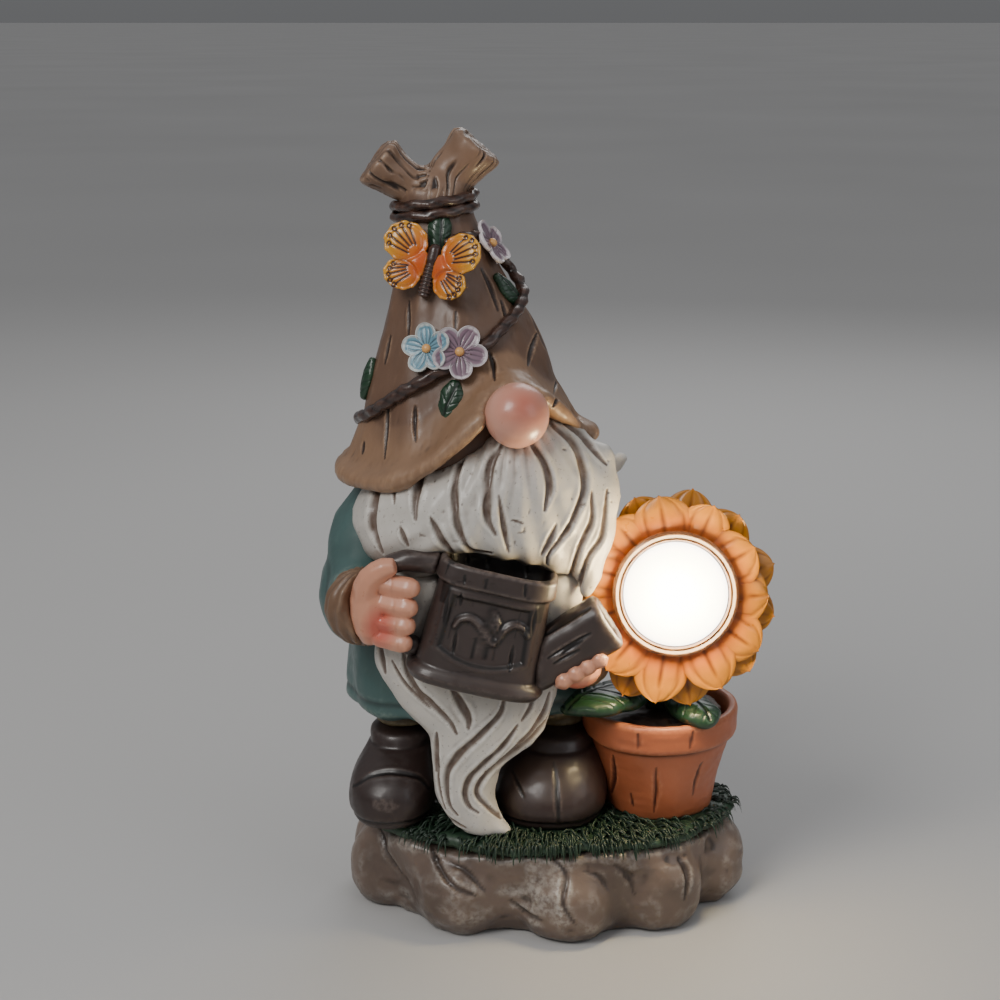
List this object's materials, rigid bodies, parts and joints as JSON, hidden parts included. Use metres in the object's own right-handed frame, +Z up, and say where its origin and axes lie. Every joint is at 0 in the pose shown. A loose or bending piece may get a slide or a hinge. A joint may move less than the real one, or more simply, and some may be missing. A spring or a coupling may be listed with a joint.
{
  "type": "garden gnome",
  "caption": "Painted resin garden gnome on a rock base with a watering can, a potted sunflower solar lamp, a battery box and a switch.",
  "frame": {"origin": "middle of the base's underside, on the surface the gnome stands on", "axes": "+Z up, the figure looks towards -Y, +X is on the right of someone facing it"},
  "size_m": [0.1494, 0.0984, 0.2666],
  "materials": {
    "rock": "painted resin, satin, pale dry-brushing",
    "grass": "painted resin, satin",
    "boot": "painted resin, varnished",
    "trousers": "painted resin, satin",
    "coat": "painted resin, satin",
    "cuff": "painted resin, satin",
    "skin": "painted resin, varnished",
    "nose": "painted resin, varnished",
    "hair": "painted resin with a brown wash in the grooves",
    "hat": "painted resin, satin",
    "brim": "painted resin, satin",
    "twig": "painted resin, varnished",
    "leaf": "painted resin, varnished",
    "flower_blue": "painted resin, white edges",
    "flower_purple": "painted resin, white edges",
    "wing": "painted resin, varnished",
    "can": "painted resin, satin",
    "clay": "painted resin, satin",
    "soil": "painted resin, matte",
    "petal": "painted resin, varnished",
    "black_plastic": "moulded, fine spark texture",
    "bezel": "clear brown moulding",
    "lens": "clear acrylic dome",
    "reflector": "vacuum-metallised",
    "circuit": "solder mask",
    "lead": "insulation",
    "solar": "silicon under clear resin",
    "battery_wrap": "shrink sleeve",
    "metal": "plated",
    "switch_knob": "moulded"
  },
  "bodies": {
    "figurine": {"base_rock": "rock", "battery_box": "black_plastic", "battery_cell": "battery_wrap", "battery_contact": "metal", "battery_spring": "metal", "beard": "hair", "boot_left": "boot", "boot_right": "boot", "butterfly_body": "twig", "butterfly_wing_left": "wing", "butterfly_wing_right": "wing", "can_body": "can", "can_handle": "can", "can_spout": "can", "coat": "coat", "control_board": "circuit", "cuff_left": "cuff", "cuff_right": "cuff", "flower_blue": "flower_blue", "flower_calyx": "leaf", "flower_purple": "flower_purple", "flower_side": "flower_purple", "flower_stem": "leaf", "hand_left": "skin", "hand_right": "skin", "hat_band": "twig", "hat_brim": "brim", "hat_cone": "hat", "hat_leaf_front": "leaf", "hat_leaf_left": "leaf", "hat_leaf_right": "leaf", "hat_leaf_top": "leaf", "hat_stub_left": "brim", "hat_stub_right": "brim", "hat_vine": "twig", "lamp_bezel": "bezel", "lamp_board": "circuit", "lamp_cup": "black_plastic", "lamp_lead": "lead", "lamp_lens": "lens", "lamp_reflector": "reflector", "moustache": "hair", "nape_hair": "hair", "nose": "nose", "panel_lead": "lead", "petals_back": "petal", "petals_front": "petal", "pot": "clay", "pot_leaf_left": "leaf", "pot_leaf_right": "leaf", "pot_soil": "soil", "sleeve_left": "coat", "sleeve_right": "coat", "solar_cell": "solar", "solar_frame": "black_plastic", "trousers": "trousers", "turf": "grass"},
    "cover": {"battery_cover": "black_plastic", "cover_screw": "metal"},
    "switch": {"switch_slider": "switch_knob"}
  },
  "joints": [
    {"name": "cover_slide", "type": "slide", "parent": "figurine", "child": "cover", "axis": [0, 0, -1], "range_m": [0, 0.03]},
    {"name": "switch_slide", "type": "slide", "parent": "figurine", "child": "switch", "axis": [1, 0, 0], "range_m": [0, 0.003]}
  ]
}
